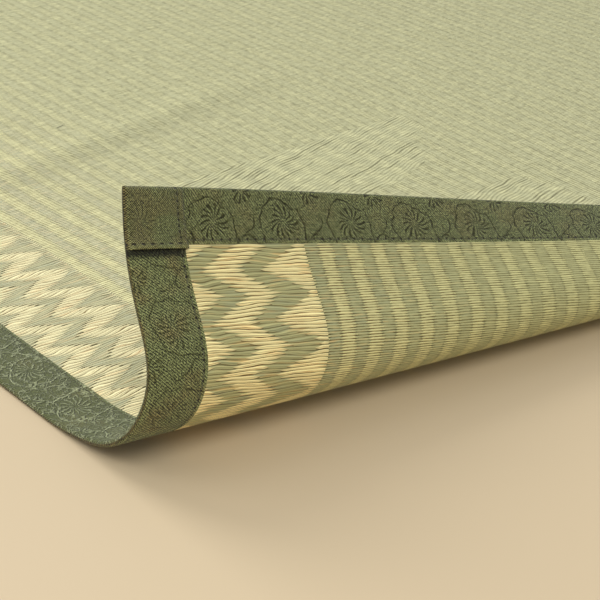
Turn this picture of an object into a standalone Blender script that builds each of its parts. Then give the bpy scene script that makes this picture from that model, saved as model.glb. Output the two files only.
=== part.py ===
"""A bound carpet of woven rush, laid flat with its near left corner folded back.

Metres, with +Z up. The carpet rests on z = 0. The rush strands run along x
and the woven stripes along y. Every piece is cut out flat first, and one
function then carries it into the fold.
"""
import math

import bmesh
import bpy
import numpy as np
from mathutils import Matrix, Vector

# The carpet laid flat
WIDTH = 1.740
LENGTH = 1.740

# The woven sheet: its body, and the thinner rim inside the tape
MAT_THICKNESS = 0.0030
RIM_THICKNESS = 0.0014

# The binding tape and its laps on both faces
TAPE_THICKNESS = 0.0010
SEAT_GAP = 0.0003
BODY_GAP = 0.0008
SIDE_LAP = 0.035
END_LAP = 0.030
SQUARE_X = 0.038
SQUARE_Y = 0.032
CUT_MARGIN = 0.010
BINDING_THICKNESS = 2 * (TAPE_THICKNESS + SEAT_GAP) + RIM_THICKNESS

# The strip that is folded back narrows from the left edge at this angle.
# Past the narrowest full section the sheet keeps that section's curve, so
# its near edge only rides up the same roll, less and less far.
STRIP_AT_LEFT = 0.2185
STRIP_ANGLE = math.radians(14.39)
SECOND_SECTION = 0.3185
LARGEST_WEIGHT = 1.2
NARROWEST_SECTION = 0.1205

# How far the sheet has turned, in degrees, by the share of the strip passed,
# at the left edge and at the second section
TURN_SHARE = (0.0, 0.1, 0.2, 0.3, 0.4, 0.5, 0.6, 0.7, 0.8, 0.9, 1.0)
TURN_AT_LEFT = (0.0, 9.6, 15.8, 38.8, 62.9, 89.1, 121.8, 132.7, 127.0, 117.1, 111.3)
TURN_AT_SECOND = (0.0, 5.8, 15.1, 32.0, 66.8, 116.6, 151.2, 156.6, 154.2, 152.6, 151.5)

# How far the section leans to the side, in degrees
LEAN_SHARE = (0.0, 0.35, 0.65, 1.0)
LEAN_AT_LEFT = (-15.7, -16.9, -6.7, -10.4)
LEAN_AT_SECOND = (-13.5, -9.1, -8.4, -9.2)

# How finely the folded strip is divided
CROSS_STEP = 0.0175
ALONG_STEP = 0.006
FOLD_STEPS = 48
NORMAL_STEP = 0.0005
CUT_SNAP = 0.00002

# Colour, roughness and metallic value of each material
MATERIAL_LOOKS = {
    "rush": ((0.53, 0.50, 0.33, 1.0), 0.62, 0.0),
    "binding": ((0.125, 0.125, 0.065, 1.0), 0.85, 0.0),
}


def clear_scene():
    """Removes every object that the file opened with."""
    for thing in list(bpy.data.objects):
        bpy.data.objects.remove(thing, do_unlink=True)


def new_collection(name):
    collection = bpy.data.collections.new(name)
    bpy.context.scene.collection.children.link(collection)
    return collection


def make_material(name):
    colour, roughness, metallic = MATERIAL_LOOKS[name]
    material = bpy.data.materials.new(name)
    material.use_nodes = True
    shader = material.node_tree.nodes["Principled BSDF"]
    shader.inputs["Base Color"].default_value = colour
    shader.inputs["Roughness"].default_value = roughness
    shader.inputs["Metallic"].default_value = metallic
    return material


def box(name, low, high, collection):
    """A box between two corners given as distances from the near left corner."""
    size = [top - bottom for bottom, top in zip(low, high)]
    centre = [(top + bottom) / 2 for bottom, top in zip(low, high)]
    centre[0] -= WIDTH / 2
    centre[1] -= LENGTH / 2
    mesh = bpy.data.meshes.new(name)
    shape = bmesh.new()
    bmesh.ops.create_cube(shape, size=1.0)
    shape.transform(Matrix.Translation(centre) @ Matrix.Diagonal(size + [1.0]))
    shape.to_mesh(mesh)
    shape.free()
    thing = bpy.data.objects.new(name, mesh)
    collection.objects.link(thing)
    return thing


def combine(piece, other, operation):
    """Joins or cuts a piece with a box, and keeps the result as its mesh."""
    other.hide_render = True
    other.display_type = "WIRE"
    modifier = piece.modifiers.new(operation.lower(), "BOOLEAN")
    modifier.operation = operation
    modifier.solver = "EXACT"
    modifier.object = other
    bpy.context.view_layer.update()
    graph = bpy.context.evaluated_depsgraph_get()
    result = bpy.data.meshes.new_from_object(piece.evaluated_get(graph))
    piece.modifiers.clear()
    piece.data = result


def smooth_value(share, shares, values):
    """Reads a table between its rows along a curve without corners."""
    shares = np.array(shares)
    values = np.array(values)
    slopes = np.gradient(values, shares)
    row = np.clip(np.searchsorted(shares, share, side="right") - 1, 0, len(shares) - 2)
    step = shares[row + 1] - shares[row]
    t = (share - shares[row]) / step
    rise = values[row + 1] - values[row]
    bend = slopes[row] * step - rise
    back = rise - slopes[row + 1] * step
    return values[row] + t * rise + t * (1 - t) * ((1 - t) * bend + t * back)


def strip_width(across):
    """Width of the folded strip, at a distance from the left edge."""
    return np.maximum(STRIP_AT_LEFT - across * math.tan(STRIP_ANGLE), 0.0)


def underside(across, along):
    """Where the fold carries a point of the sheet's underside."""
    strip = strip_width(across)
    passed = np.maximum(strip - along, 0.0)
    section = np.maximum(strip, NARROWEST_SECTION)
    weight = np.minimum(across / SECOND_SECTION, LARGEST_WEIGHT)
    x = across.copy()
    y = np.maximum(along, strip)
    z = np.zeros_like(x)
    for step in range(FOLD_STEPS):
        share = passed / section * (step + 0.5) / FOLD_STEPS
        left_turn = smooth_value(share, TURN_SHARE, TURN_AT_LEFT)
        second_turn = smooth_value(share, TURN_SHARE, TURN_AT_SECOND)
        turn = np.radians(left_turn * (1 - weight) + second_turn * weight)
        left_lean = np.interp(share, LEAN_SHARE, LEAN_AT_LEFT)
        second_lean = np.interp(share, LEAN_SHARE, LEAN_AT_SECOND)
        lean = np.radians(left_lean * (1 - weight) + second_lean * weight)
        length = passed / FOLD_STEPS
        straight = np.cos(lean)
        sideways = np.sin(lean)
        x += length * straight * sideways * (np.cos(turn) - 1)
        y -= length * (sideways ** 2 + straight ** 2 * np.cos(turn))
        z += length * straight * np.sin(turn)
    return np.stack([x, y, z], axis=-1)


def into_fold(across, along, height):
    """Where the fold carries a point at a height above the sheet's underside."""
    base = underside(across, along)
    run_across = underside(across + NORMAL_STEP, along) - underside(across - NORMAL_STEP, along)
    run_along = underside(across, along + NORMAL_STEP) - underside(across, along - NORMAL_STEP)
    normal = np.cross(run_across, run_along)
    normal /= np.linalg.norm(normal, axis=-1, keepdims=True)
    flat = along >= strip_width(across)
    normal[flat] = (0.0, 0.0, 1.0)
    return base + normal * height[:, None]


def divide_for_fold(shape):
    """Cuts a flat piece across the strip, and along lines beside the fold."""
    corner = Vector((-WIDTH / 2, -LENGTH / 2, 0))
    fold_length = STRIP_AT_LEFT / math.tan(STRIP_ANGLE)
    planes = []
    for number in range(1, math.ceil(fold_length / CROSS_STEP) + 1):
        planes.append((corner + Vector((number * CROSS_STEP, 0, 0)), Vector((1, 0, 0))))
    beside = Vector((math.sin(STRIP_ANGLE), math.cos(STRIP_ANGLE), 0))
    for number in range(math.ceil(STRIP_AT_LEFT / ALONG_STEP)):
        point = corner + Vector((0, STRIP_AT_LEFT - number * ALONG_STEP, 0))
        planes.append((point, beside))
    for point, direction in planes:
        everything = shape.verts[:] + shape.edges[:] + shape.faces[:]
        bmesh.ops.bisect_plane(
            shape, geom=everything, dist=CUT_SNAP, plane_co=point, plane_no=direction
        )


def fold_piece(piece):
    """Divides a flat piece and carries each of its points into the fold."""
    shape = bmesh.new()
    shape.from_mesh(piece.data)
    divide_for_fold(shape)
    bmesh.ops.triangulate(shape, faces=shape.faces[:])
    flat = np.array([point.co[:] for point in shape.verts], dtype=float)
    across = flat[:, 0] + WIDTH / 2
    along = flat[:, 1] + LENGTH / 2
    folded = into_fold(across, along, flat[:, 2])
    for point, place in zip(shape.verts, folded):
        point.co = (place[0] - WIDTH / 2, place[1] - LENGTH / 2, place[2])
    bmesh.ops.recalc_face_normals(shape, faces=shape.faces[:])
    shape.to_mesh(piece.data)
    shape.free()


def make_mat(parts, cutters):
    """The woven sheet: a body between the tapes and a thin rim inside them."""
    body_x = SIDE_LAP + BODY_GAP
    body_y = END_LAP + BODY_GAP
    mat = box(
        "rush_mat",
        (body_x, body_y, 0.0),
        (WIDTH - body_x, LENGTH - body_y, MAT_THICKNESS),
        parts,
    )
    square_x = SQUARE_X + BODY_GAP
    square_y = SQUARE_Y + BODY_GAP
    for side in (0, 1):
        for end in (0, 1):
            low_x = -CUT_MARGIN if side == 0 else WIDTH - square_x
            low_y = -CUT_MARGIN if end == 0 else LENGTH - square_y
            corner = box(
                "corner_notch_%d%d" % (side, end),
                (low_x, low_y, -CUT_MARGIN),
                (low_x + square_x + CUT_MARGIN, low_y + square_y + CUT_MARGIN, CUT_MARGIN),
                cutters,
            )
            combine(mat, corner, "DIFFERENCE")
    rim_edge = TAPE_THICKNESS + SEAT_GAP
    rim = box(
        "rim_outline",
        (rim_edge, rim_edge, rim_edge),
        (WIDTH - rim_edge, LENGTH - rim_edge, rim_edge + RIM_THICKNESS),
        cutters,
    )
    combine(mat, rim, "UNION")
    return mat


def hollow_for_rim(binding, cutters):
    """Cuts the slot that the sheet's rim sits in."""
    inside = TAPE_THICKNESS
    slot = box(
        binding.name + "_slot",
        (inside, inside, inside),
        (WIDTH - inside, LENGTH - inside, BINDING_THICKNESS - inside),
        cutters,
    )
    combine(binding, slot, "DIFFERENCE")


def make_side_binding(name, side, parts, cutters):
    """Tape over a side edge, between the squares of the end bindings."""
    low_x = 0.0 if side == 0 else WIDTH - SIDE_LAP
    end_y = SQUARE_Y + SEAT_GAP
    binding = box(
        name,
        (low_x, end_y, 0.0),
        (low_x + SIDE_LAP, LENGTH - end_y, BINDING_THICKNESS),
        parts,
    )
    hollow_for_rim(binding, cutters)
    return binding


def make_end_binding(name, end, parts, cutters):
    """Tape over an end edge, turned in as a square over both its corners."""
    low_y = 0.0 if end == 0 else LENGTH - SQUARE_Y
    binding = box(name, (0.0, low_y, 0.0), (WIDTH, low_y + SQUARE_Y, BINDING_THICKNESS), parts)
    inner_y = END_LAP if end == 0 else LENGTH - END_LAP - CUT_MARGIN
    between = box(
        name + "_between_squares",
        (SQUARE_X, inner_y, -CUT_MARGIN),
        (WIDTH - SQUARE_X, inner_y + CUT_MARGIN, CUT_MARGIN),
        cutters,
    )
    combine(binding, between, "DIFFERENCE")
    hollow_for_rim(binding, cutters)
    return binding


def main():
    clear_scene()
    parts = new_collection("rush_carpet")
    cutters = new_collection("cutters")
    rush = make_material("rush")
    tape = make_material("binding")
    carpet = bpy.data.objects.new("rush_carpet", None)
    parts.objects.link(carpet)

    mat = make_mat(parts, cutters)
    left = make_side_binding("side_binding_left", 0, parts, cutters)
    right = make_side_binding("side_binding_right", 1, parts, cutters)
    front = make_end_binding("end_binding_front", 0, parts, cutters)
    back = make_end_binding("end_binding_back", 1, parts, cutters)
    for piece in (mat, left, front):
        fold_piece(piece)
    mat.data.materials.append(rush)
    mat.parent = carpet
    for binding in (left, right, front, back):
        binding.data.materials.append(tape)
        binding.parent = carpet


main()
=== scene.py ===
"""The looks of a bound carpet of woven rush with its near left corner folded back.

Metres, with +Z up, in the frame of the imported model. Places on the flat
carpet are given as across, from its left edge, along, from its near edge,
and height, above its underside. One function carries them into the fold.
The materials work in millimetres on the flat carpet, where inset is the
distance from the nearer of its left and right edges.
"""
import math

import bpy
import numpy as np
from mathutils import Matrix, Vector


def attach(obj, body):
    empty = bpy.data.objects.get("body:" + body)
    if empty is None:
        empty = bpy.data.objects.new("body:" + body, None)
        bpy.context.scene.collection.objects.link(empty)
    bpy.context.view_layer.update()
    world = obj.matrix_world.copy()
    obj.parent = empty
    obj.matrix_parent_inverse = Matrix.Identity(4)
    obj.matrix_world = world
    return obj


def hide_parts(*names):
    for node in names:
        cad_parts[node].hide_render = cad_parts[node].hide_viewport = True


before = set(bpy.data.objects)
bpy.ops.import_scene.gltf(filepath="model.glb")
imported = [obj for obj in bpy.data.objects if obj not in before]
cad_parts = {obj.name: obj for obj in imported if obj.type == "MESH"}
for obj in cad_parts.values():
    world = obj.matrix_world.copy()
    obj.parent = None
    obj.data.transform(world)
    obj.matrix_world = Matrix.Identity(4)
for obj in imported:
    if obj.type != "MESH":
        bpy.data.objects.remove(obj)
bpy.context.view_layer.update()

# Millimetres in a metre and in a centimetre
MM = 1000.0
CM = 10.0

# The carpet laid flat, in metres
WIDTH = 1.740
LENGTH = 1.740
MAT_TOP = 0.0030
MAT_INSET = 0.0013
MAT_UNEVEN = 0.00012
RIM_LOW = 0.0014
RIM_HIGH = 0.0026
SIDE_LAP = 0.035
END_LAP = 0.030
EDGE_HALF = 0.0020

# The square over each corner, its seams, how proud it stands and how far its free edge lifts
SQUARE_X = 0.0353
SQUARE_Y = 0.032
SQUARE_COLUMN = 0.0316
SQUARE_ROW = 0.0294
SQUARE_RISE = 0.0008
LIP_RISE = 0.0020

# Where these grow: the rise from the tape's end and from the carpet's edge, and the lift at its depth
RISE_FROM_END = (0.0005, 0.0025)
RISE_FROM_EDGE = (0.001, 0.003)
LIP_REACH = (0.0262, 0.0302)

# The seams, in millimetres, and the share of its pitch that a stitch fills
STITCH_PITCH = 5.5
COLUMN_PITCH = 3.1
SEAM_INSET = 2.7
THREAD_SHARE = 0.68

# The sewing thread: its middle's height over and under the tape, its shape, and where seams end
THREAD_TOP = 0.0038
THREAD_LOW = 0.0002
THREAD_RADIUS = 0.0003
THREAD_SLANT = 0.0003
THREAD_BOW = 0.00018
THREAD_DIP = 0.0011
SQUARE_SEAM_END = 0.003
PAST_SQUARE_EDGE = 0.0006

# Waves as (height, turn in each metre or stitch, first turn), along the laps and along the thread
END_WAVES = ((0.00018, 61, 0), (0.00012, 173, 1))
SIDE_WAVES = ((0.00018, 57, 2), (0.00012, 151, 0))
THREAD_WAVES = ((0.00010, 2.4, 0), (0.00006, 5.1, 0))

# The fold, as in the part's source. Turns and leans are in degrees
STRIP_AT_LEFT = 0.2185
STRIP_ANGLE = math.radians(14.39)
SECOND_SECTION = 0.3185
LARGEST_WEIGHT = 1.2
NARROWEST_SECTION = 0.1205
TURN_SHARE = (0.0, 0.1, 0.2, 0.3, 0.4, 0.5, 0.6, 0.7, 0.8, 0.9, 1.0)
TURN_AT_LEFT = (0.0, 9.6, 15.8, 38.8, 62.9, 89.1, 121.8, 132.7, 127.0, 117.1, 111.3)
TURN_AT_SECOND = (0.0, 5.8, 15.1, 32.0, 66.8, 116.6, 151.2, 156.6, 154.2, 152.6, 151.5)
LEAN_SHARE = (0.0, 0.35, 0.65, 1.0)
LEAN_AT_LEFT = (-15.7, -16.9, -6.7, -10.4)
LEAN_AT_SECOND = (-13.5, -9.1, -8.4, -9.2)
FOLD_STEPS = 48
NORMAL_STEP = 0.0005

# The packing crease: a place on it, its slope, and where it grows and dies out
CREASE_ACROSS = 0.139
CREASE_ALONG = 0.475
CREASE_SLOPE = 0.138
CREASE_REACH = (0.060, 0.140, 0.340, 0.460)

# Its valley and its ridge: how high, how far beyond the crease and how wide
VALLEY = (-0.0009, 0.0, 0.010)
RIDGE = (0.0011, 0.020, 0.014)


# The fold

def smooth_value(share, shares, values):
    """A smooth curve through the values at their shares."""
    shares = np.array(shares)
    values = np.array(values)
    slopes = np.gradient(values, shares)
    row = np.clip(np.searchsorted(shares, share, side="right") - 1, 0, len(shares) - 2)
    step = shares[row + 1] - shares[row]
    t = (share - shares[row]) / step
    rise = values[row + 1] - values[row]
    bend = slopes[row] * step - rise
    back = rise - slopes[row + 1] * step
    return values[row] + t * rise + t * (1 - t) * ((1 - t) * bend + t * back)


def strip_width(across):
    """How far from the near edge the fold starts."""
    return np.maximum(STRIP_AT_LEFT - across * math.tan(STRIP_ANGLE), 0.0)


def underside(across, along):
    """Places of the folded underside, from the flat carpet's near left corner."""
    strip = strip_width(across)
    passed = np.maximum(strip - along, 0.0)
    section = np.maximum(strip, NARROWEST_SECTION)
    weight = np.minimum(across / SECOND_SECTION, LARGEST_WEIGHT)
    x = across.copy()
    y = np.maximum(along, strip)
    z = np.zeros_like(x)
    length = passed / FOLD_STEPS
    for step in range(FOLD_STEPS):
        share = passed / section * (step + 0.5) / FOLD_STEPS
        left_turn = smooth_value(share, TURN_SHARE, TURN_AT_LEFT)
        second_turn = smooth_value(share, TURN_SHARE, TURN_AT_SECOND)
        turn = np.radians(left_turn * (1 - weight) + second_turn * weight)
        left_lean = np.interp(share, LEAN_SHARE, LEAN_AT_LEFT)
        second_lean = np.interp(share, LEAN_SHARE, LEAN_AT_SECOND)
        lean = np.radians(left_lean * (1 - weight) + second_lean * weight)
        straight = np.cos(lean)
        sideways = np.sin(lean)
        x += length * straight * sideways * (np.cos(turn) - 1)
        y -= length * (sideways ** 2 + straight ** 2 * np.cos(turn))
        z += length * straight * np.sin(turn)
    return np.stack([x, y, z], axis=-1)


def into_fold(across, along, height):
    """Places of the flat carpet, carried into the fold and set in the part's frame."""
    out = np.stack([across, along, height], axis=-1)
    bent = along < strip_width(across)
    a = across[bent]
    b = along[bent]
    run_across = underside(a + NORMAL_STEP, b) - underside(a - NORMAL_STEP, b)
    run_along = underside(a, b + NORMAL_STEP) - underside(a, b - NORMAL_STEP)
    normal = np.cross(run_across, run_along)
    normal /= np.linalg.norm(normal, axis=-1, keepdims=True)
    out[bent] = underside(a, b) + normal * height[bent][:, None]
    out[:, 0] -= WIDTH / 2
    out[:, 1] -= LENGTH / 2
    return out


def spaced(start, end, step):
    """Even places from start to just before end, about one step apart."""
    count = max(1, int(round((end - start) / step)))
    return list(np.linspace(start, end, count, endpoint=False))


def in_scene(name, data):
    placed = bpy.data.objects.new(name, data)
    bpy.context.scene.collection.objects.link(placed)
    return placed


def new_mesh(name, points, faces, face_slots, materials, maps):
    """A smooth mesh object. maps gives each UV map's name and its pairs, one for each face corner."""
    mesh = bpy.data.meshes.new(name)
    mesh.from_pydata(points.tolist(), [], faces)
    for material in materials:
        mesh.materials.append(material)
    mesh.polygons.foreach_set("material_index", face_slots)
    mesh.polygons.foreach_set("use_smooth", [True] * len(faces))
    for map_name, pairs in maps.items():
        layer = mesh.uv_layers.new(name=map_name)
        layer.data.foreach_set("uv", np.asarray(pairs, float).ravel())
    mesh.update()
    return in_scene(name, mesh)


# Arithmetic written as shader nodes

class Value:
    """A number or colour that a shader's nodes work out. Numbers take part in arithmetic."""

    def __init__(self, tree, socket):
        self.tree = tree
        self.socket = socket

    def __add__(self, other):
        return work(self.tree, "ADD", self, other)

    def __sub__(self, other):
        return work(self.tree, "SUBTRACT", self, other)

    def __rsub__(self, other):
        return work(self.tree, "SUBTRACT", other, self)

    def __mul__(self, other):
        return work(self.tree, "MULTIPLY", self, other)

    def __truediv__(self, other):
        return work(self.tree, "DIVIDE", self, other)


def feed(tree, socket, value):
    if isinstance(value, Value):
        tree.links.new(value.socket, socket)
    else:
        socket.default_value = value


def work(tree, operation, *inputs):
    node = tree.nodes.new("ShaderNodeMath")
    node.operation = operation
    for socket, value in zip(node.inputs, inputs):
        feed(tree, socket, value)
    return Value(tree, node.outputs[0])


def largest(first, *others):
    for other in others:
        first = work(first.tree, "MAXIMUM", first, other)
    return first


def smallest(first, *others):
    for other in others:
        first = work(first.tree, "MINIMUM", first, other)
    return first


def absolute(value):
    return work(value.tree, "ABSOLUTE", value)


def fraction(value):
    return work(value.tree, "FRACT", value)


def sine(value):
    return work(value.tree, "SINE", value)


def cosine(value):
    return work(value.tree, "COSINE", value)


def there_and_back(phase):
    """0 at the ends of a phase from 0 to 1, and 1 in its middle."""
    return 1.0 - absolute(phase * 2.0 - 1.0)


def ramp(value, low, high):
    """0 below low, 1 above high, smooth between."""
    node = value.tree.nodes.new("ShaderNodeMapRange")
    node.interpolation_type = "SMOOTHSTEP"
    for key, number in (("Value", value), ("From Min", low), ("From Max", high)):
        feed(value.tree, node.inputs[key], number)
    return Value(value.tree, node.outputs["Result"])


def fall(value, low, high):
    """1 below low, 0 above high, smooth between."""
    return 1.0 - ramp(value, low, high)


def window(value, start, full, past, end):
    """1 from full to past, 0 below start and above end, smooth between."""
    return ramp(value, start, full) * fall(value, past, end)


def near_zero(value, inner, outer):
    """1 where value is within inner of 0, and 0 where it is outer or more away."""
    return fall(absolute(value), inner, outer)


def along_curve(value, places):
    """A smooth curve through (value, result) places, all within a span of 0 to 100."""
    span = 100.0
    node = value.tree.nodes.new("ShaderNodeFloatCurve")
    points = node.mapping.curves[0].points
    while len(points) < len(places):
        points.new(0.5, 0.5)
    node.mapping.use_clip = False
    for point, (at, result) in zip(points, places):
        point.location = (at / span, result / span)
    node.mapping.update()
    feed(value.tree, node.inputs["Value"], value / span)
    return Value(value.tree, node.outputs[0]) * span


def noise(x, y, z=0.0, detail=1.0):
    """Noise from 0 to 1 over a plane, with cells one unit wide. Each z gives another pattern."""
    tree = x.tree
    place = tree.nodes.new("ShaderNodeCombineXYZ")
    for socket, value in zip(place.inputs, (x, y, z)):
        feed(tree, socket, value)
    node = tree.nodes.new("ShaderNodeTexNoise")
    node.inputs["Scale"].default_value = 1.0
    node.inputs["Detail"].default_value = detail
    tree.links.new(place.outputs[0], node.inputs["Vector"])
    return Value(tree, node.outputs["Fac"])


def mix_colour(share, first, second):
    node = share.tree.nodes.new("ShaderNodeMix")
    node.data_type = "RGBA"
    feed(share.tree, node.inputs["Factor"], share)
    colour_inputs = [socket for socket in node.inputs if socket.type == "RGBA"]
    for socket, colour in zip(colour_inputs, (first, second)):
        feed(share.tree, socket, colour if isinstance(colour, Value) else (*colour, 1.0))
    out = [socket for socket in node.outputs if socket.type == "RGBA"][0]
    return Value(share.tree, out)


def shade(colour, amount):
    """colour times a number."""
    node = colour.tree.nodes.new("ShaderNodeVectorMath")
    node.operation = "SCALE"
    colour.tree.links.new(colour.socket, node.inputs[0])
    feed(colour.tree, node.inputs["Scale"], amount)
    return Value(colour.tree, node.outputs[0])


def lit(red, green, blue):
    """A screen colour from 0 to 255 as the light it stands for."""
    out = []
    for part in (red, green, blue):
        part = part / 255
        out.append(part / 12.92 if part <= 0.04045 else ((part + 0.055) / 1.055) ** 2.4)
    return tuple(out)


def new_material(name):
    material = bpy.data.materials.new(name)
    material.use_nodes = True
    tree = material.node_tree
    tree.nodes.clear()
    out = tree.nodes.new("ShaderNodeOutputMaterial")
    shader = tree.nodes.new("ShaderNodeBsdfPrincipled")
    tree.links.new(shader.outputs[0], out.inputs["Surface"])
    return material, tree, shader


def first_two(tree, socket):
    """The first two parts of a place in metres, in millimetres."""
    parts = tree.nodes.new("ShaderNodeSeparateXYZ")
    tree.links.new(socket, parts.inputs[0])
    return Value(tree, parts.outputs[0]) * MM, Value(tree, parts.outputs[1]) * MM


def flat_place(tree):
    """The two coordinates of the UV map named flat, in millimetres."""
    node = tree.nodes.new("ShaderNodeUVMap")
    node.uv_map = "flat"
    return first_two(tree, node.outputs[0])


def finish_material(tree, shader, colour, roughness, height, specular=0.5):
    """height is in millimetres."""
    tree.links.new(colour.socket, shader.inputs["Base Color"])
    feed(tree, shader.inputs["Roughness"], roughness)
    shader.inputs["Specular IOR Level"].default_value = specular
    bump = tree.nodes.new("ShaderNodeBump")
    bump.inputs["Distance"].default_value = 1.0 / MM
    feed(tree, bump.inputs["Height"], height)
    tree.links.new(bump.outputs[0], shader.inputs["Normal"])


# The woven rush, in millimetres: the zigzag's repeat, the ribs, and where their stripes fade

FIGURE_REPEAT = 28.9
FIGURE_START = 43.8
FIGURE_STRANDS = 13
ROW_PITCH = FIGURE_REPEAT / FIGURE_STRANDS
RIB_WIDTH = 9.065
FIRST_RIB = 110.6
FADE_START = 110.0
FADE_END = 306.0

# Lines of the zigzag as their inset at the start of a repeat and how far they have moved half way on:
# the edges of the underside's beige areas, the line between the top's two beige zigzags, the middle
# of the first of those, and how far the second one's middle is from it
BEIGE_EDGES = ((27.9, 25.5), (39.2, 25.5), (67.1, 20.6), (76.9, 29.0))
LINE_BETWEEN = (53.2, 23.0)
FIRST_MIDDLE = (33.5, 25.5)
MIDDLES_APART = (38.5, -0.7)

# The floats lean within these insets, one way and the other by turns
LEAN_WINDOW = (34.0, 44.0, 100.0, 110.0)
LEAN_REPEAT = 39.0

# A float's half width, as a share of the pitch: where it starts, how fast it grows and how far
FLOAT_START = -0.47
FLOAT_POWER = 0.85
FLOAT_HALF = 0.57

# Screen colours, as (on the top, on the underside)
RUSH_COLOURS = {
    "beige": ((241, 232, 181), (251, 236, 170)),
    "cool": ((182, 188, 158), (160, 168, 132)),
    "green": ((195, 192, 149), (178, 175, 122)),
    "rib_high": ((225, 221, 167), (222, 215, 152)),
    "rib_low": ((200, 196, 156), (178, 177, 127)),
    "natural_high": ((202, 200, 154), (201, 197, 138)),
    "natural_low": ((193, 192, 149), (178, 176, 124)),
    # Painted shade: the dark of the gaps between strands, where shade falls
    "beige_slit_shade": ((118, 94, 46), (110, 78, 26)),
    "green_slit_shade": ((84, 78, 40), (86, 74, 32)),
    "natural_slit_shade": ((134, 128, 82), (108, 98, 46)),
    "tan": ((226, 184, 128), (222, 174, 104)),
}

# What else differs, in the same order. Lengths are in millimetres, the rest are shares
WEAVE = {
    "rib_strands": (14, 19),
    "lean": (1.25, 0.6),
    "spread": (2.9, -3.2),
    "rib_taper": (4.6, 2.8),
    "border_taper": (10.5, 8.8),
    "rib_contrast": (0.75, 0.6),
    "less_in_border": (0.15, 0.0),
    "brown": (0.30, 0.45),
    "green_split": (0.18, 0.30),
    "tip": (0.50, 0.65),
    "groove_width": (2.6, 1.0),
    # How strong the painted shade in the rib grooves is, and the painted highlight along each strand
    "groove_shade": (0.05, 0.22),
    "faded_groove_shade": (0.14, 0.0),
    "painted_gleam": (0.12, 0.20),
}


def zigzag_line(line, turn):
    """The inset of one of the zigzag's lines. turn runs from 0 to 1 and back in each repeat."""
    start, moved = line
    return turn * moved + start


def figure_distance(inset, row_at):
    """How far inside a beige area of the underside a place is; less than 0 in a green one."""
    turn = there_and_back(fraction((row_at - FIGURE_START) / FIGURE_REPEAT))
    end_1, start_2, end_2, start_3 = [zigzag_line(line, turn) for line in BEIGE_EDGES]
    second = smallest(inset - start_2, end_2 - inset)
    third = smallest(inset - start_3, FIRST_RIB - inset)
    zigzag = largest(end_1 - inset, second, third)
    rib = (inset - FIRST_RIB) / RIB_WIDTH
    wave = work(inset.tree, "PINGPONG", rib - 0.5, 1.0) - 0.5
    past = work(inset.tree, "GREATER_THAN", inset, FIRST_RIB)
    return zigzag + past * (wave * RIB_WIDTH - zigzag)


def figure_middle(inset, turn):
    """The inset of the middle of the top's beige zigzag nearest to a place."""
    second = work(inset.tree, "GREATER_THAN", inset, zigzag_line(LINE_BETWEEN, turn))
    return zigzag_line(FIRST_MIDDLE, turn) + second * zigzag_line(MIDDLES_APART, turn)


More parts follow.
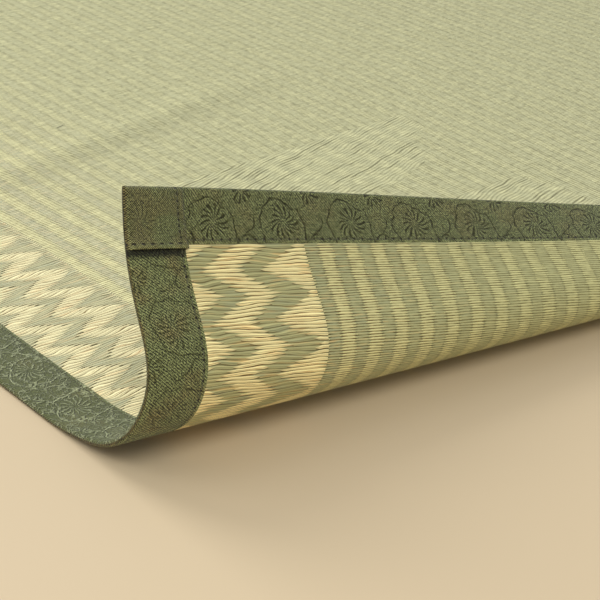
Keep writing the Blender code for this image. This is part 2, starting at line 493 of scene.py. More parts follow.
def rush_material(name, face):
    """face is 1 for the underside, where the beige figure floats, and -1 for the top."""
    top_face = face < 0
    at = int(face > 0)
    colours = {key: lit(*pair[at]) for key, pair in RUSH_COLOURS.items()}
    weave = {key: pair[at] for key, pair in WEAVE.items()}
    material, tree, shader = new_material(name)
    across, along = flat_place(tree)
    inset = smallest(across, WIDTH * MM - across)
    fade = work(tree, "SQRT", ramp(inset, FADE_START, FADE_END) + 0.0001)
    striped = 1.0 - fade
    border = work(tree, "LESS_THAN", inset, FIRST_RIB)
    ribbed = 1.0 - border

    # The floats lean along the zigzag
    phase = fraction((along - FIGURE_START) / FIGURE_REPEAT)
    turn = there_and_back(phase)
    off_middle = inset - zigzag_line(LINE_BETWEEN, turn)
    lean = sine(phase * math.tau) * sine(off_middle * (math.tau / LEAN_REPEAT))
    lean = lean * window(inset, *LEAN_WINDOW) * weave["lean"]
    wobble = (noise(across / 38.0, along / 11.0) - 0.5) * 1.5
    drift = (noise(across / 16.0, along / 3.0, 6.0) - 0.5) * (border + 0.5)
    rib_pitch = FIGURE_REPEAT / weave["rib_strands"]
    pitch = border * (ROW_PITCH - rib_pitch) + rib_pitch
    rows = (along - lean + wobble + drift) / pitch
    row = work(tree, "FLOOR", rows + 0.5)
    beyond = (rows - row) * float(face)
    off = absolute(beyond)

    patch = patch_share(inset, along) if top_face else 0.0

    # Each beige float tapers at its ends, over the green ones
    spread = border * fall(inset, 103.0, 109.0) * weave["spread"]
    uneven = (noise(across / 9.0, row * 3.7) - 0.5) * (border * 1.2 + 4.8)
    inside = figure_distance(inset, row * pitch) * float(face)
    taper = border * (weave["border_taper"] - weave["rib_taper"]) + weave["rib_taper"]
    reach = (inside + spread + uneven) / taper
    reached = smallest(largest(reach - FLOAT_START, 0.0), 1.0)
    half = work(tree, "POWER", reached, FLOAT_POWER) * FLOAT_HALF
    on_top = ramp(half - off, -0.03, 0.06)

    # Each strand has its own tone, and fine lines along it
    fibre = noise(across / 30.0, rows * 6.0, detail=2.0)
    streak = noise(across / 17.0, rows * 2.7, 8.0)
    own_tone = noise(across / (border * 35.0 + 11.0), row * 7.1, 1.0)
    green_tone = noise(across / (border * 30.0 + 11.0), rows * 1.1, 2.0)
    rib_high = mix_colour(fade, colours["rib_high"], colours["natural_high"])
    rib_low = mix_colour(fade, colours["rib_low"], colours["natural_low"])
    beige = mix_colour(border, rib_high, colours["beige"])
    green = mix_colour(border, rib_low, colours["green"])
    warm = ramp(streak * 0.6 + own_tone * 0.4, 0.52, 0.66) * striped * (border * 0.40 + 0.12)
    beige = mix_colour(warm, beige, colours["tan"])
    contrast = weave["rib_contrast"] - border * weave["less_in_border"]
    beige = shade(beige, (own_tone - 0.5) * contrast + 1.0)
    cool = ramp(noise(across / 24.0, rows * 0.8, 23.0), 0.48, 0.68) * striped * 0.45
    green = mix_colour(cool, green, colours["cool"])
    brown = ramp(green_tone * 0.5 + streak * 0.5, 0.52, 0.66) * striped * weave["brown"]
    green = mix_colour(brown, green, colours["tan"])
    green = shade(green, (green_tone - 0.5) * (contrast - 0.1) + 1.0)
    beige_slit_shade = mix_colour(fade, colours["beige_slit_shade"], colours["natural_slit_shade"])
    green_slit_shade = mix_colour(fade, colours["green_slit_shade"], colours["natural_slit_shade"])

    # Painted shade in the gaps between strands: a dark line beside each strand and round each tip, and
    # along the split in a strand
    depth = (border * 0.20 + 0.75) * (1.0 - patch) if top_face else 1.0 - fade * 0.10
    own_line = ramp(noise(across / (border * 8.0 + 6.0), row * 2.3, 4.0), 0.34, 0.62)
    line_start = border * 0.10 + 0.14
    row_shade_line = ramp(beyond, line_start, line_start + 0.14)
    past_edge = beyond - half
    tip_shade_line = window(past_edge, -0.05, 0.04, 0.10, 0.22) * window(half, 0.02, 0.12, 0.36, 0.46)
    middle_shade_line = fall(off, 0.02, 0.12)
    split = middle_shade_line * (border * 0.30 + ramp(own_tone, 0.45, 0.6) * 0.30)
    at_edge = near_zero(inside, 0.8, 2.6) * ribbed * 0.25
    beige_shade_lines = largest(row_shade_line * (own_line * 0.62 + 0.38 + at_edge), split) * depth
    green_shade_lines = row_shade_line * (own_line * 0.50 + 0.26 + at_edge)
    green_shade_lines = largest(green_shade_lines, middle_shade_line * border * weave["green_split"])
    green_shade_lines = largest(green_shade_lines, tip_shade_line * (own_line * 0.30 + weave["tip"])) * depth
    beige = mix_colour(beige_shade_lines, beige, beige_slit_shade)
    green = mix_colour(green_shade_lines, green, green_slit_shade)
    colour = mix_colour(on_top, green, beige)
    lines = beige_shade_lines * on_top + green_shade_lines * (1.0 - on_top)

    # On the top, painted shade in short dark dashes at the floats' tips, on one side of each zigzag,
    # where the gaps between strands are in shade
    if top_face:
        side_on = (inset - figure_middle(inset, turn)) * (phase - 0.5)
        facing = work(tree, "GREATER_THAN", side_on, 0.0)
        dash_shade = near_zero(reach + 0.10, 0.10, 0.20) * ramp(beyond, 0.06, 0.16)
        dash_shade = dash_shade * facing * fall(inset, 98.0, 104.0)
        dash_shade = dash_shade * ramp(noise(across / 14.0, row * 4.9, 19.0), 0.15, 0.32)
        colour = mix_colour(dash_shade * 0.95, colour, colours["green_slit_shade"])
        lines = largest(lines, dash_shade)

    # Mottled tone, painted shade in the grooves between ribs in blotches, and a painted highlight
    # along each strand
    groove = near_zero(inside, 0.3, weave["groove_width"]) * ribbed * (1.0 - patch)
    groove_shade_patches = ramp(noise(inset / 7.0, along / 4.5, 31.0), 0.42, 0.60)
    mottle = noise(inset / 9.0, along / 5.0, 14.0) - 0.5
    tone = (fibre - 0.5) * (border * 0.6 + 0.5) + mottle * ribbed * 0.30
    tone = tone - groove * groove_shade_patches * (fade * weave["faded_groove_shade"] + weave["groove_shade"])
    painted_gleam = near_zero(beyond + 0.24, 0.04, 0.20) * depth * weave["painted_gleam"]
    colour = shade(colour, tone + painted_gleam + 1.0)
    round_top = 1.0 - off * off * 4.0
    stand = (round_top * 0.5 + 0.5) * (on_top * 0.20 + 0.30) * (1.0 - fade * 0.4)
    height = stand + fibre * 0.10 - lines * (0.26 - fade * 0.1) - groove * 0.12

    if top_face:
        slant_groove_shade = slanting_groove_shade(inset, along)
        colour = shade(colour, patch * 0.08 + 1.0)
        # Painted shade in the patches' slanting grooves
        colour = mix_colour(patch * slant_groove_shade * 0.72, colour, colours["green_slit_shade"])
        height = height + patch * (0.15 - slant_groove_shade * 0.45)
        colour = with_fleck(with_crease_shading(colour, across, along), across, along)
    finish_material(tree, shader, colour, 0.5, height, specular=0.35)
    return material


# The patches of slanting strands near each corner, in centimetres: where each one starts, its low and
# its high along, and the line that ends it towards the middle, through (along, inset) places
PATCHES = (
    (23.5, 31.5, 40.8, (
        (18, 38.4), (32.3, 38.4), (32.6, 40.3), (33.7, 42.2), (37.0, 44.3), (37.3, 45.8), (40.3, 46.4),
    )),
    (30.0, 19.5, 27.6, (
        (12, 46.0), (19.5, 46.4), (20.8, 46.7), (22.5, 46.6), (25.3, 46.1), (27.5, 44.8),
    )),
)

# Their grooves, in millimetres: pitch, where a wave starts, its length and height, and the slope
GROOVE_PITCH = 2.89
GROOVE_WAVE_START = 398.0
GROOVE_WAVE_LENGTH = 100.0
GROOVE_WAVE_HEIGHT = 0.8
GROOVE_SLOPE = 0.24

# The fleck of straw, in millimetres
FLECK_ACROSS = 232.5
FLECK_ALONG = 538.0
FLECK_SLOPE = 0.2


def from_end(along):
    """The distance from the nearer of the near and far edges."""
    return smallest(along, LENGTH * MM - along)


def patch_share(inset, along):
    """1 in the patches near each corner where the strands run on in slanting waves."""
    near = from_end(along)
    ragged = (noise(inset / 9.0, near / 5.0, 11.0) - 0.5) * 16.0
    found = 0.0
    for start, low, high, middle_end in PATCHES:
        limit = along_curve(near / CM, middle_end) * CM
        start = start * CM
        inside = ramp(limit + ragged - inset, -2.0, 4.0) * ramp(inset + ragged, start - 8.0, start)
        inside = inside * ramp(near, low * CM, low * CM + 3.0)
        inside = inside * fall(near + ragged * 0.1, high * CM - 2.0, high * CM)
        found = inside + found
    return found


def slanting_groove_shade(inset, along):
    """How dark the painted shade in the grooves between the patches' strands is, from 0 to 1."""
    near = from_end(along)
    wave_turn = (inset - GROOVE_WAVE_START) * (math.tau / GROOVE_WAVE_LENGTH)
    wave = sine(wave_turn) * GROOVE_WAVE_HEIGHT + inset * GROOVE_SLOPE
    uneven = (noise(inset / 30.0, near / 12.0, 7.0) - 0.5) * 4.0
    uneven = uneven + (noise(inset / 25.0, near / 40.0, 3.0) - 0.5) * 5.0
    line = (near - wave + uneven) / GROOVE_PITCH
    off = absolute(fraction(line) - 0.5) * 2.0
    own = noise(inset / 45.0, work(inset.tree, "FLOOR", line) * 5.7, 9.0)
    return fall(off, 0.10, 0.75) * (ramp(own, 0.52, 0.66) * 0.55 + 0.45)


def with_crease_shading(colour, across, along):
    """The shallow packing crease, with painted shade in its valley and a painted highlight on its
    ridge.
    """
    off = along - ((across - CREASE_ACROSS * MM) * CREASE_SLOPE + CREASE_ALONG * MM)
    reach = window(across, *[place * MM for place in CREASE_REACH])
    valley = near_zero(off, 4.0, 22.0) * reach
    ridge = near_zero(off - 26.0, 2.0, 20.0) * reach
    return shade(colour, 1.0 - valley * 0.10 + ridge * 0.05)


def with_fleck(colour, across, along):
    """One short dark bit of straw."""
    beside = along - FLECK_ALONG - (across - FLECK_ACROSS) * FLECK_SLOPE
    fleck = near_zero(beside, 0.4, 1.2) * near_zero(across - FLECK_ACROSS, 2.6, 4.0)
    return shade(colour, 1.0 - fleck * 0.6)


# The binding tape

TAPE = {
    "ground_top": lit(91, 97, 58),
    "ground_low": lit(113, 119, 75),
    "brown": lit(112, 99, 60),
    "figure_dark": lit(46, 47, 8),
    "figure_light": lit(188, 195, 150),
    "edge": lit(74, 60, 20),
    "pit_shade": lit(34, 30, 10),
}

# Repeats of the twill and of the weft, along the tape and across it, in millimetres
TWILL_REPEAT = 1.7
TWILL_SLOPE = 0.85
WEFT_REPEAT = (1.2, 1.15)

# The woven figure, in millimetres: its repeat, the depths of the flower, of what keeps clear of it and
# of the small flower, the place between two flowers, and the start and the half width of its lines
MOTIF_PITCH = 46.0
FLOWER_DEPTH = 18.0
CLEAR_DEPTH = 18.5
SMALL_DEPTH = 2.4
BETWEEN_AT = 20.5
VINES_FROM = 23.0
BETWEEN_FROM = 20.0
VINE_HALF = 0.44
ARCH_HALF = 0.42
LEAF_HALF = 0.5

# Its lines, through (depth, place) or (place, depth) pairs
RIGHT_VINE = ((9, 8.5), (14, 11.8), (24, 13.5), (36, 14.6))
LEFT_VINE = ((9, 8.0), (13, 9.0), (19, 7.0), (26, 9.0), (36, 11.0))
ARCH_VINE = ((8.5, 11.5), (13, 7.0), (18, 5.5), (25, 8.0), (32, 11.5))
LOW_ARCH = ((14, 30), (17, 26), (21, 25), (24, 26.5), (28, 31))
LEAF_LINE = ((14, 24), (18, 25.5), (22, 23.0), (25, 18))


def stroke(distance, half):
    """A soft line, from its distance and its half width."""
    return near_zero(distance, half - 0.15, half + 0.25)


def blossom(x, y, petals, swirl, inner, outer, frayed):
    """Curved strokes round a centre, as on a woven flower. frayed is how uneven they are, to 1."""
    radius = work(x.tree, "SQRT", x * x + y * y)
    angle = work(x.tree, "ARCTAN2", y, x)
    shift = (noise(x / 2.6, y / 2.6, 17.0) - 0.5) * (frayed * 3.4 + 1.0)
    wave = cosine(angle * float(petals) + radius * swirl + shift)
    reach = sine(angle * 3.0 + 1.0) * 0.7 + outer
    ring = ramp(radius, inner, inner + 0.8) * fall(radius - reach, -0.8, 0.2)
    return ramp(wave, 0.0, 0.7) * ring


def tendrils(turn, depth):
    """Small curling lines that repeat with the figure. turn runs from 0 to 1 in each repeat."""
    ring = MOTIF_PITCH / (math.tau * 7.0)
    ring_x = cosine(turn * math.tau) * ring
    ring_y = sine(turn * math.tau) * ring
    curl = noise(ring_x, ring_y, depth / 7.0) - 0.5
    other = noise(ring_x * 1.3 + 9.0, ring_y * 1.3, depth / 5.4) - 0.5
    return largest(near_zero(curl, 0.012, 0.036), near_zero(other, 0.010, 0.032))


def tape_motif(length, depth, start, top):
    """The woven flower and vine, from 0 to 1. depth is from the carpet's edge, top is 1 on the top."""
    warp = (noise(length / 8.5, depth / 8.5, 5.0) - 0.5) * 4.6
    sag = (noise(length / 8.5, depth / 8.5, 9.0) - 0.5) * 4.6
    repeats = (length - start) / MOTIF_PITCH
    turn = fraction(repeats + 0.5)
    x = turn * MOTIF_PITCH - MOTIF_PITCH / 2 + warp
    between = fraction(repeats) * MOTIF_PITCH - BETWEEN_AT + warp
    y = depth + sag
    flower = blossom(x, y - FLOWER_DEPTH, 14, 0.8, 1.2, 9.2, top)
    small = blossom(between + 1.0, y - SMALL_DEPTH, 9, 0.5, 0.9, 6.6, top)
    vine_ends = ramp(y, 9.5, 10.5)
    right_vine = stroke(x - along_curve(y, RIGHT_VINE), VINE_HALF) * vine_ends
    left_vine = stroke(x + VINES_FROM - along_curve(y, LEFT_VINE), VINE_HALF) * vine_ends
    arch = stroke(y - along_curve(x + VINES_FROM, ARCH_VINE), ARCH_HALF)
    arch = arch * window(x, -15.0, -14.0, 8.5, 9.5)
    low_arch = stroke(y - along_curve(between + BETWEEN_FROM, LOW_ARCH), ARCH_HALF)
    low_arch = low_arch * window(between, -6.5, -5.5, 7.0, 8.0)
    leaf = stroke(between + BETWEEN_FROM - along_curve(y, LEAF_LINE), LEAF_HALF)
    leaf = leaf * window(y, 15, 16, 24, 25)

    # Tendrils keep clear of the flower, and all the lines have gaps
    from_flower = work(length.tree, "SQRT", x * x + (y - CLEAR_DEPTH) * (y - CLEAR_DEPTH))
    tendril = tendrils(turn, depth) * ramp(from_flower, 8.0, 9.5)
    vines = largest(right_vine, left_vine, arch, low_arch, leaf)
    gaps = ramp(noise(length / 3.0, depth / 3.0, 15.0), 0.34, 0.50)
    lines = largest(vines, tendril * (top * 0.25 + 0.45))
    return largest(largest(flower, small) * (0.95 - top * 0.20), lines * (gaps * 0.5 + 0.5))


def tape_material(name, start, reverse_strength, lap, squares):
    """start is where the figure starts. squares is true for an end binding, which has squares."""
    material, tree, shader = new_material(name)
    length, side = flat_place(tree)
    depth = absolute(side)
    top = work(tree, "GREATER_THAN", side, 0.0)
    motif = tape_motif(length, depth, start, top)
    # A copy of the figure moved 0.8 mm along the tape: painted shadow beside the figure's lines on the
    # top, and a painted highlight beside them on the underside
    figure_shadow_and_highlight = tape_motif(length + 0.8, depth, start, top) * (1.0 - motif)
    twill = sine((length + side * TWILL_SLOPE) * (math.tau / TWILL_REPEAT))
    weft = sine(side * (math.tau / WEFT_REPEAT[1])) * sine(length * (math.tau / WEFT_REPEAT[0]))
    speck = noise(length / 0.85, side / 0.85) - 0.5
    worn = noise(length / 20.0, side / 20.0, 3.0, detail=3.0)
    figure = mix_colour(top, TAPE["figure_dark"], TAPE["figure_light"])
    ground = mix_colour(top, TAPE["ground_low"], TAPE["ground_top"])
    browned = ramp(worn, 0.45, 0.7) * (1.0 - top * 0.65) * (0.38 if squares else 0.70)
    ground = mix_colour(browned, ground, TAPE["brown"])
    strength = top * (0.60 - reverse_strength) + reverse_strength
    seam_depth = lap - SEAM_INSET
    at_seam = near_zero(depth - seam_depth, 0.45, 0.85)
    stitch_turn = cosine(length * (math.tau / STITCH_PITCH))
    pit_shade = at_seam * fall(stitch_turn, -0.95, -0.55) * (1.0 - top * 0.55)
    if squares:
        inset = smallest(length, WIDTH * MM - length)
        from_square = inset - SQUARE_X * MM
        beyond = ramp(from_square, -0.5, 0.5)
        mesh = 1.0 - beyond
        strength = strength * (beyond * 0.60 + 0.40)
        in_row = near_zero(depth - SQUARE_ROW * MM, 0.35, 0.75)
        row_pit_shade = in_row * fall(stitch_turn, -0.6, 0.0) * 0.95
        column_turn = cosine(depth * (math.tau / COLUMN_PITCH))
        column = near_zero(inset - SQUARE_COLUMN * MM, 0.35, 0.8) * fall(depth, 29.0, 29.8)
        column_pit_shade = column * fall(column_turn, -0.6, 0.1)
        pit_shade = pit_shade * beyond + largest(row_pit_shade, column_pit_shade) * mesh
        at_seam = at_seam * beyond + largest(in_row, column) * mesh
        # Painted shade in a thin line along the square's edge; dark also makes the square and the
        # whole tape a little darker
        square_edge_shade = near_zero(from_square - 0.3, 0.2, 0.9)
        ground = mix_colour(fall(inset, 0.4, 1.4) * 0.7, ground, TAPE["edge"])
        dark = mesh * 0.14 + square_edge_shade * 0.30 + 0.08
        patchy = noise(length / 16.0, side / 16.0, 25.0)
        ground = mix_colour(mesh * ramp(patchy, 0.40, 0.56) * 0.38, ground, TAPE["brown"])
    else:
        mesh = 0.0
        # Painted shadow on the side tape's underside near its near end, under the square's lifted edge
        dark = fall(length, 34.0, 38.0) * (1.0 - top) * 0.85
        ground = mix_colour(fall(depth, 0.8, 2.2) * (1.0 - top) * 0.8, ground, TAPE["edge"])
    colour = mix_colour(motif * strength, ground, figure)
    grain = twill * (0.68 - mesh * 0.58) + weft * (mesh * 1.25 + 0.75) + speck * (5.8 - mesh * 0.4)
    grain = grain * (1.0 - top * 0.62)
    tone = grain + (worn - 0.5) * 0.50 + 1.0 + figure_shadow_and_highlight * (0.22 - top * 0.72)
    tone = largest(tone, 0.10) * (1.0 - dark)
    # A painted highlight on the puffed strip of tape past the seam
    lip_highlight = ramp(depth, seam_depth + 0.6, seam_depth + 1.4)
    colour = shade(colour, tone + lip_highlight * 0.25)
    # Painted shade in the stitch pits, and along the seam on the underside
    colour = mix_colour(pit_shade * 0.9 + at_seam * (1.0 - top) * 0.10, colour, TAPE["pit_shade"])
    height = twill * 0.08 + weft * 0.08 + speck * (0.5 - top * 0.3)
    height = height + motif * (top * 1.50 - 0.20) - pit_shade * 0.4
    finish_material(tree, shader, colour, 0.82, height, specular=0.3)
    shader.inputs["Sheen Weight"].default_value = 0.12
    shader.inputs["Sheen Roughness"].default_value = 0.5
    return material


def thread_material():
    material, tree, shader = new_material("binding_thread")
    place = tree.nodes.new("ShaderNodeTexCoord")
    x, y = first_two(tree, place.outputs["Object"])
    twist = noise(x / 0.35, y / 0.35)
    colour = mix_colour(twist, lit(74, 76, 50), lit(112, 114, 84))
    finish_material(tree, shader, colour, 0.8, twist * 0.05)
    return material


# The woven sheet: mesh lines under the tape, the gap between two lines where the rim steps down, a
# little more than that, where the even lines start past a square, and the bake map's margin
RIM_LINES = (MAT_INSET, 0.012, 0.024)
STEP_GAP = 0.0002
STEP_SLACK = 0.0003
PAST_SQUARE = 0.004
BAKE_MARGIN = 0.004


def mat_lines(size, lap, square, ends, steps):
    """Mesh lines along one side. steps are used up to each of the two ends and beyond."""
    low = list(RIM_LINES)
    for edge in (lap, square):
        low += [edge - 2 * STEP_GAP, edge - STEP_GAP]
    last = size - square - PAST_SQUARE
    stops = (square + PAST_SQUARE, *ends, last)
    even = []
    for start, end, step in zip(stops, stops[1:], steps):
        even += spaced(start, end, step)
    return np.array(low + even + [last] + [size - value for value in reversed(low)])


def top_height(a, b):
    """The height of the sheet's top, with its crease and slight unevenness."""
    beyond = b - (CREASE_ALONG + (a - CREASE_ACROSS) * CREASE_SLOPE)
    reach = np.interp(a, CREASE_REACH, (0, 1, 1, 0))
    found = MAT_TOP + MAT_UNEVEN * np.sin(a * 37 + b * 11) * np.sin(b * 53 - a * 7)
    for height, middle, width in (VALLEY, RIDGE):
        found += reach * height * np.exp(-((beyond - middle) / width) ** 2)
    return found


def sheet_mesh(materials):
    """materials are those of the top, and of the underside and rim."""
    across = mat_lines(WIDTH, SIDE_LAP, SQUARE_X, (0.120, 0.880), (0.005, 0.008, 0.030))
    along = mat_lines(LENGTH, END_LAP, SQUARE_Y, (0.228, 0.640), (0.0028, 0.012, 0.035))
    a, b = np.meshgrid(across, along, indexing="ij")
    a = a.ravel()
    b = b.ravel()
    a_in = np.minimum(a, WIDTH - a)
    b_in = np.minimum(b, LENGTH - b)
    thin = (a_in < SIDE_LAP - STEP_SLACK) | (b_in < END_LAP - STEP_SLACK)
    thin |= (a_in < SQUARE_X - STEP_SLACK) & (b_in < SQUARE_Y - STEP_SLACK)
    top = np.where(thin, RIM_HIGH, top_height(a, b))
    low = np.where(thin, RIM_LOW, 0.0)
    points = np.concatenate([into_fold(a, b, top), into_fold(a, b, low)])
    index = np.arange(len(a)).reshape(len(across), len(along))
    under = len(a)
    corners = [index[:-1, :-1], index[1:, :-1], index[1:, 1:], index[:-1, 1:]]
    top_faces = np.stack(corners, 2).reshape(-1, 4)
    low_faces = top_faces[:, ::-1] + under
    rim = np.concatenate([index[:, 0], index[-1, 1:], index[-2::-1, -1], index[0, -2:0:-1]])
    after = np.roll(rim, -1)
    side_faces = np.stack([rim, rim + under, after + under, after], 1)
    faces = np.concatenate([top_faces, low_faces, side_faces])
    slots = [0] * len(top_faces) + [1] * (len(low_faces) + len(side_faces))

    # The bake map has the top in its left half and the underside in its right half
    corner = faces.ravel() % under
    flat = np.stack([a[corner], b[corner]], 1)
    half = np.repeat(slots, 4) * 0.5
    u = half + BAKE_MARGIN + (0.5 - 2 * BAKE_MARGIN) * flat[:, 0] / WIDTH
    v = BAKE_MARGIN + (1.0 - 2 * BAKE_MARGIN) * flat[:, 1] / LENGTH
    maps = {"flat": flat, "OFBake": np.stack([u, v], 1)}
    return new_mesh("woven_rush_sheet", points, faces.tolist(), slots, materials, maps)


# The bindings: angles round the tape's outer edge, the length of a strip of the bake map, the steps of
# the stations in folded and flat stretches, and how deep a section keeps its size

ARC = [math.radians(22.5 * step) for step in range(9)]
BAND = 0.348
FINE_STEP = 0.004
COARSE_STEP = 0.020
KEPT_DEPTH = 0.004

# Stations where a closed end rounds off and by a square, and how far even stations keep from them
END_STATIONS = [0.0, 0.0002, 0.0005, 0.0009, 0.0012, 0.0013, 0.0016, 0.0020, 0.0026]
SQUARE_STATIONS = [SQUARE_X + off for off in (-0.0014, -0.0002, 0.0002, 0.0020)]
CLEAR_OF_END = 0.0032
CLEAR_OF_SQUARE = 0.0024

# A closed end's hollow stops this far in, and its sections keep these least shares of their height
HOLLOW_END = 0.00125
LEAST_HEIGHT = 0.0025
LEAST_HOLLOW = 0.01


def sleeve_section(lap):
    """The closed section of a folded tape, as (depth, height, side) rows, and how many are outside.

    lap is in millimetres. side is the depth along the tape, less than 0 on the underside.
    """
    half = EDGE_HALF * MM
    outer = [(lap, 0.45), (lap - 0.15, 0.12), (lap - 0.5, 0.0), (lap - 1.9, 0.0)]
    outer += [(lap - 2.35, 0.06), (lap - 2.7, 0.10), (lap - 3.05, 0.06), (lap - 3.6, 0.0)]
    outer += [(lap * 0.66, 0.0), (lap * 0.33, 0.0)]
    low = [(d, h, -d) for d, h in outer]
    edge = [(half - half * math.sin(t), half - half * math.cos(t), half * t - math.pi) for t in ARC]
    high = [(d, 2 * half - h, d) for d, h in reversed(outer)]
    inner = [(place, 3.05) for place in (lap - 0.1, lap - 5.0, lap / 2, 2.2)]
    inner += [(1.25, 2.7), (1.0, 2.0)]
    hollow = [(d, h, lap) for d, h in inner]
    hollow += [(d, 2 * half - h, -lap) for d, h in reversed(inner[:-1])]
    return np.array(low + edge + high + hollow) / MM, len(low + edge + high)


def squeezed(run, hollow):
    """The share of a section's height that is left where a closed end rounds off."""
    end = np.minimum(run, WIDTH - run)
    rounded = 1 - (1 - np.clip(end / EDGE_HALF, 0, 1)) ** 2
    share = np.sqrt(np.clip(rounded, LEAST_HEIGHT, 1))
    return np.where(hollow & (end < HOLLOW_END), LEAST_HOLLOW, share)


def tape_maps(faces, stations, side, count):
    """The flat map and the bake map, whose strips each hold one band of the tape's length."""
    pairs = []
    baked = []
    bands = math.ceil(WIDTH / BAND)
    margin_u = 0.01
    margin_v = 0.03
    for face in faces:
        rows = [corner // count for corner in face]
        spots = [corner % count for corner in face]
        strip = min(int(stations[min(rows)] / BAND + 1e-6), bands - 1)
        wraps = len(face) == 4 and max(spots) == count - 1 and min(spots) == 0
        for row, spot in zip(rows, spots):
            pairs.append((stations[row], side[row * count + spot]))
            turn = (count if wraps and spot == 0 else spot) / count
            u = margin_u + (1 - 2 * margin_u) * (stations[row] - strip * BAND) / BAND
            v = (strip + margin_v + (1 - 2 * margin_v) * turn) / bands
            baked.append((u, v))
    return {"flat": pairs, "OFBake": baked}


def tape_mesh(name, stations, material, at_end, far):
    """A sleeve swept along stations. at_end is for an end binding, far for the back or right one."""
    stations = np.array(stations)
    laps = laps_at(stations, at_end)
    middle_lap = laps[len(laps) // 2]
    base, outside = sleeve_section(middle_lap * MM)
    count = len(base)
    run = np.repeat(stations, count)
    depth, height, side = np.tile(base, (len(stations), 1)).T
    stretch = np.repeat(laps / middle_lap, count)
    depth = np.where(depth > KEPT_DEPTH, depth * stretch, depth)
    side = np.where(np.abs(side) > KEPT_DEPTH, side * stretch, side)
    hollow = np.tile(np.arange(count) >= outside, len(stations))
    if at_end:
        height = EDGE_HALF + (height - EDGE_HALF) * squeezed(run, hollow)
        height = height + raised(run, depth, side, hollow, not far)
        points = into_fold(run, LENGTH - depth if far else depth, height)
    else:
        points = into_fold(WIDTH - depth if far else depth, run, height)
    index = np.arange(len(run)).reshape(len(stations), count)
    turned = np.roll(index, -1, axis=1)
    quads = np.stack([index[:-1], index[1:], turned[1:], turned[:-1]], 2).reshape(-1, 4)
    faces = quads.tolist() + [index[0].tolist(), index[-1, ::-1].tolist()]
    if at_end == far:
        faces = [face[::-1] for face in faces]
    maps = tape_maps(faces, stations, side, count)
    return new_mesh(name, points, faces, [0] * len(faces), [material], maps)


def square_share(run):
    """1 over a corner's square, falling to 0 just past it."""
    end = np.minimum(run, WIDTH - run)
    return np.clip((SQUARE_X + STEP_GAP - end) / (2 * STEP_GAP), 0, 1)


def raised(run, depth, side, hollow, near):
    """Each corner's square stands a little proud, and the turned-up one's free edge lifts off."""
    end = np.minimum(run, WIDTH - run)
    share = square_share(run) * np.interp(end, RISE_FROM_END, (0, 1))
    rise = SQUARE_RISE * share * np.interp(depth, RISE_FROM_EDGE, (0, 1))
    lift = rise + LIP_RISE * share * np.interp(depth, LIP_REACH, (0, 1))
    turned_up = near & (run < WIDTH / 2)
    past_edge = EDGE_HALF + 0.0001
    high = (side > past_edge) & ~hollow
    low = np.where(hollow, (side < 0) & (depth > LIP_REACH[0]), side < -past_edge)
    return np.where(high, rise, 0.0) - np.where(low & turned_up, lift, 0.0)


def waving(run, waves):
    return sum(height * np.sin(run * turn + first) for height, turn, first in waves)


def laps_at(run, at_end):
    """How deep a binding's tape reaches. An end binding's is deeper over the squares."""
    if at_end:
        return END_LAP + (SQUARE_Y - END_LAP) * square_share(run) + waving(run, END_WAVES)
    return SIDE_LAP + waving(run, SIDE_WAVES)


def run_stations(low, high, fine_end, squares):
    """Stations along a binding, close together as far as fine_end and at every band's edge."""
    found = spaced(low, min(fine_end, high), FINE_STEP)
    found += spaced(max(fine_end, low), high, COARSE_STEP) + [high]
    found += [BAND * step for step in range(1, 5)]
    if squares:
        marks = END_STATIONS + SQUARE_STATIONS
        found = [value for value in found if CLEAR_OF_END < value < WIDTH - CLEAR_OF_END]
        found = [v for v in found if abs(min(v, WIDTH - v) - SQUARE_X) > CLEAR_OF_SQUARE]
        found += marks + [WIDTH - value for value in marks]
    found = sorted(set(round(value, 6) for value in found))
    return [value for value in found if low - 1e-9 <= value <= high + 1e-9]


# The sewing thread: its rings as (place along a stitch, thickness), each with this many corners

THREAD_RINGS = ((-0.5, 0.25), (-0.32, 1.0), (0.0, 1.1), (0.32, 1.0), (0.5, 0.25))
THREAD_SIDES = 5


def stitch_points(middle, ahead, aside, height, lift, pitch, shift):
    """The rings of one stitch on the flat carpet."""
    points = []
    for place, thick in THREAD_RINGS:
        centre = middle + ahead * place * pitch * THREAD_SHARE + aside * (shift + place * THREAD_SLANT)
        bow = lift * (THREAD_BOW - THREAD_DIP * place * place)
        radius = THREAD_RADIUS * thick
        for turn in range(THREAD_SIDES):
            angle = math.tau * turn / THREAD_SIDES
            spot = centre + aside * radius * math.cos(angle)
            points.append((spot[0], spot[1], height + bow + radius * math.sin(angle)))
    return points


def stitch_faces(base):
    """The faces of one stitch whose first point is number base."""
    faces = []
    last = base + (len(THREAD_RINGS) - 1) * THREAD_SIDES
    for ring in range(base, last, THREAD_SIDES):
        for turn in range(THREAD_SIDES):
            low = ring + turn
            low_next = ring + (turn + 1) % THREAD_SIDES
            faces.append((low, low + THREAD_SIDES, low_next + THREAD_SIDES, low_next))
    faces.append(tuple(base + turn for turn in range(THREAD_SIDES)))
    faces.append(tuple(last + turn for turn in reversed(range(THREAD_SIDES))))
    return faces


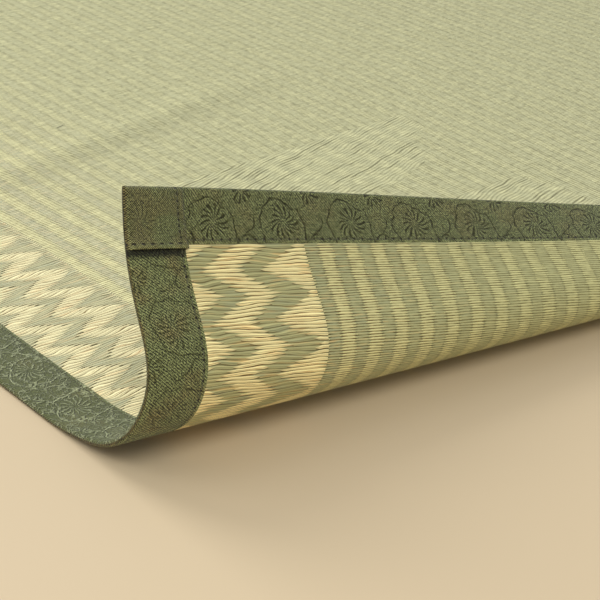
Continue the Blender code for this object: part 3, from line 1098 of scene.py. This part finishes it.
def stitch_mesh(name, seams, material):
    """Small threads along seams. A seam is (first end, last end, height, lift, pitch in mm)."""
    points = []
    faces = []
    for start, end, height, lift, pitch in seams:
        start = np.array(start)
        reach = np.linalg.norm(np.array(end) - start)
        ahead = (np.array(end) - start) / reach
        pitch = pitch / MM
        aside = np.array([-ahead[1], ahead[0]])
        begin = start @ ahead
        first = math.ceil(begin / pitch) * pitch - begin
        count = int((reach - first) / pitch) + 1
        for step in range(count):
            middle = start + ahead * (first + step * pitch)
            shift = waving(step, THREAD_WAVES)
            faces += stitch_faces(len(points))
            points += stitch_points(middle, ahead, aside, height, lift, pitch, shift)
    flat = np.array(points)
    placed = into_fold(flat[:, 0], flat[:, 1], flat[:, 2])
    return new_mesh(name, placed, faces, [0] * len(faces), [material], {})


# The pieces

FOLD_END = 0.870
LEFT_FOLD_END = 0.232
SIDE_START = 0.0280
SIDE_END = LENGTH - SQUARE_Y - STEP_SLACK


def make_tapes():
    end_tape = tape_material("end_tape", 99.7, 1.0, END_LAP * MM, True)
    side_tape = tape_material("side_tape", 120.0, 0.75, SIDE_LAP * MM, False)
    front = run_stations(0.0, WIDTH, FOLD_END, True)
    back = run_stations(0.0, WIDTH, 0.0, True)
    left = run_stations(SIDE_START, SIDE_END, LEFT_FOLD_END, False)
    right = run_stations(SIDE_START, SIDE_END, SIDE_START, False)
    bindings = [
        ("front_tape", "end_binding_front", front, end_tape, True, False),
        ("back_tape", "end_binding_back", back, end_tape, True, True),
        ("left_tape", "side_binding_left", left, side_tape, False, False),
        ("right_tape", "side_binding_right", right, side_tape, False, True),
    ]
    tapes = []
    for name, node, stations, material, at_end, far in bindings:
        tape = tape_mesh(name, stations, material, at_end, far)
        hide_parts(node)
        tapes.append(tape)
    return tapes


def make_stitches():
    side_line = SIDE_LAP - SEAM_INSET / MM
    end_line = END_LAP - SEAM_INSET / MM
    first = SQUARE_X + PAST_SQUARE_EDGE
    last = WIDTH - first
    seams = []
    for height, lift in ((THREAD_TOP, 1.0), (THREAD_LOW, -1.0)):
        for line in (end_line, LENGTH - end_line):
            seams.append(((first, line), (last, line), height, lift, STITCH_PITCH))
        for line in (side_line, WIDTH - side_line):
            seams.append(((line, SIDE_START), (line, SIDE_END), height, lift, STITCH_PITCH))

    # The turned-up square has its seams on the underside too
    corner = (SQUARE_COLUMN, SQUARE_ROW)
    low = -SQUARE_RISE
    seams.append(((SQUARE_COLUMN, SQUARE_SEAM_END), corner, low, -1.0, COLUMN_PITCH))
    seams.append(((SQUARE_SEAM_END, SQUARE_ROW), corner, low + THREAD_LOW, -1.0, STITCH_PITCH))
    column_height = 2 * EDGE_HALF + SQUARE_RISE
    row_height = THREAD_TOP + SQUARE_RISE
    for left_side in (True, False):
        for near in (True, False):
            x = SQUARE_COLUMN if left_side else WIDTH - SQUARE_COLUMN
            edge = SQUARE_SEAM_END if left_side else WIDTH - SQUARE_SEAM_END
            y = SQUARE_ROW if near else LENGTH - SQUARE_ROW
            outer = SQUARE_SEAM_END if near else LENGTH - SQUARE_SEAM_END
            seams.append(((x, outer), (x, y), column_height, 1.0, COLUMN_PITCH))
            seams.append(((edge, y), (x, y), row_height, 1.0, STITCH_PITCH))
    stitches = stitch_mesh("binding_stitches", seams, thread_material())
    return stitches


def make_floor():
    reach = 8.0
    level = -0.0003
    sides = ((-reach, -reach), (reach, -reach), (reach, reach), (-reach, reach))
    corners = [(x, y, level) for x, y in sides]
    mesh = bpy.data.meshes.new("floor")
    mesh.from_pydata(corners, [], [(0, 1, 2, 3)])
    floor = in_scene("floor", mesh)
    material, _, shader = new_material("pale_floor")
    shader.inputs["Base Color"].default_value = (*lit(212, 192, 158), 1)
    shader.inputs["Roughness"].default_value = 0.7
    mesh.materials.append(material)


def light(name, place, target, size, power):
    lamp = bpy.data.lights.new(name, "AREA")
    lamp.shape = "DISK"
    lamp.size = size
    lamp.energy = power
    holder = in_scene(name, lamp)
    aim = Vector(target) - Vector(place)
    holder.matrix_world = Matrix.Translation(place) @ aim.to_track_quat("-Z", "Y").to_matrix().to_4x4()


def make_light():
    bpy.context.scene.view_settings.view_transform = "Standard"
    world = bpy.data.worlds.new("studio")
    bpy.context.scene.world = world
    world.use_nodes = True
    sky = world.node_tree.nodes["Background"]
    sky.inputs["Color"].default_value = (1.0, 1.0, 1.0, 1)
    sky.inputs["Strength"].default_value = 0.48
    light("back_light", (-1.1, 2.3, 2.4), (-0.6, -0.5, 0), 2.0, 66)
    light("left_light", (-2.6, 0.6, 1.8), (-0.5, -0.5, 0), 1.6, 16)
    light("front_light", (-1.6, -1.6, 1.7), (-0.7, -0.7, 0.05), 1.0, 15)


def make_camera():
    """The photo's camera, solved from straight lines in it."""
    data = bpy.data.cameras.new("camera")
    data.lens = 97.28
    data.sensor_width = 36
    data.clip_start = 0.01
    camera = in_scene("camera", data)
    camera.matrix_world = Matrix((
        (0.74197, 0.28989, -0.60450, -1.27944),
        (-0.66830, 0.39150, -0.63253, -1.27628),
        (0.05330, 0.87332, 0.48422, 0.490),
        (0, 0, 0, 1),
    ))
    bpy.context.scene.camera = camera


def main():
    sheet = sheet_mesh([rush_material("rush_top", -1), rush_material("rush_underside", 1)])
    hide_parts("rush_mat")
    pieces = make_tapes() + [make_stitches()]
    for piece in [sheet] + pieces:
        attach(piece, "root")
    make_floor()
    make_light()
    make_camera()


main()
